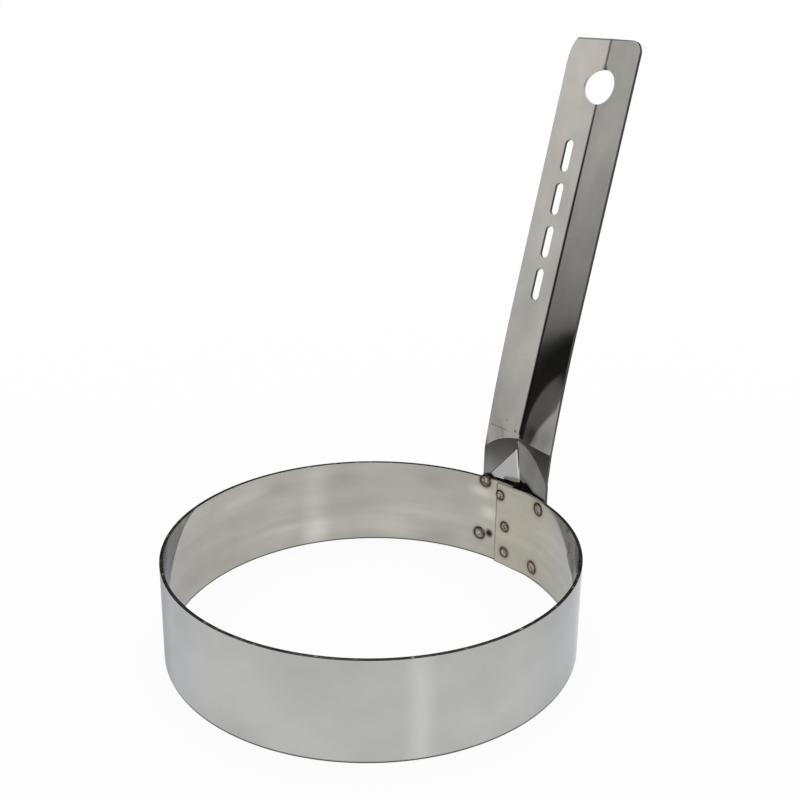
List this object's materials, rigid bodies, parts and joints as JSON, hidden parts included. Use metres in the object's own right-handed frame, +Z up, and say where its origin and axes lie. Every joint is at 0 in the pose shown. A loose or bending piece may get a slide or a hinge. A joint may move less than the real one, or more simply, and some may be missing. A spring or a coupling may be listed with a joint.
{
  "type": "egg ring",
  "caption": "Round open steel band that shapes an egg in a pan, with an upright folded handle spot welded to its outside and pierced with a hanging hole.",
  "frame": {"origin": "under the middle of the whole object's bounding box, on the surface that the ring stands on", "axes": "+Z up along the handle's height, +Y from the ring to the handle, +X to the right of someone who looks at the handle across the ring"},
  "size_m": [0.1, 0.129, 0.1411],
  "materials": {
    "band_steel": "bright rolled stainless steel, faintly mottled, with sheared edges",
    "handle_steel": "polished stainless steel, close to a mirror, with sheared edges",
    "weld_metal": "resistance spot weld, a shallow dish with a brown heat ring"
  },
  "bodies": {
    "root": {"ring_band": "band_steel", "handle": "handle_steel", "weld_handle_upper_left": "weld_metal", "weld_handle_upper_right": "weld_metal", "weld_handle_lower_left": "weld_metal", "weld_handle_lower_right": "weld_metal", "weld_lap_top": "weld_metal", "weld_lap_middle": "weld_metal", "weld_lap_bottom": "weld_metal"}
  },
  "joints": []
}
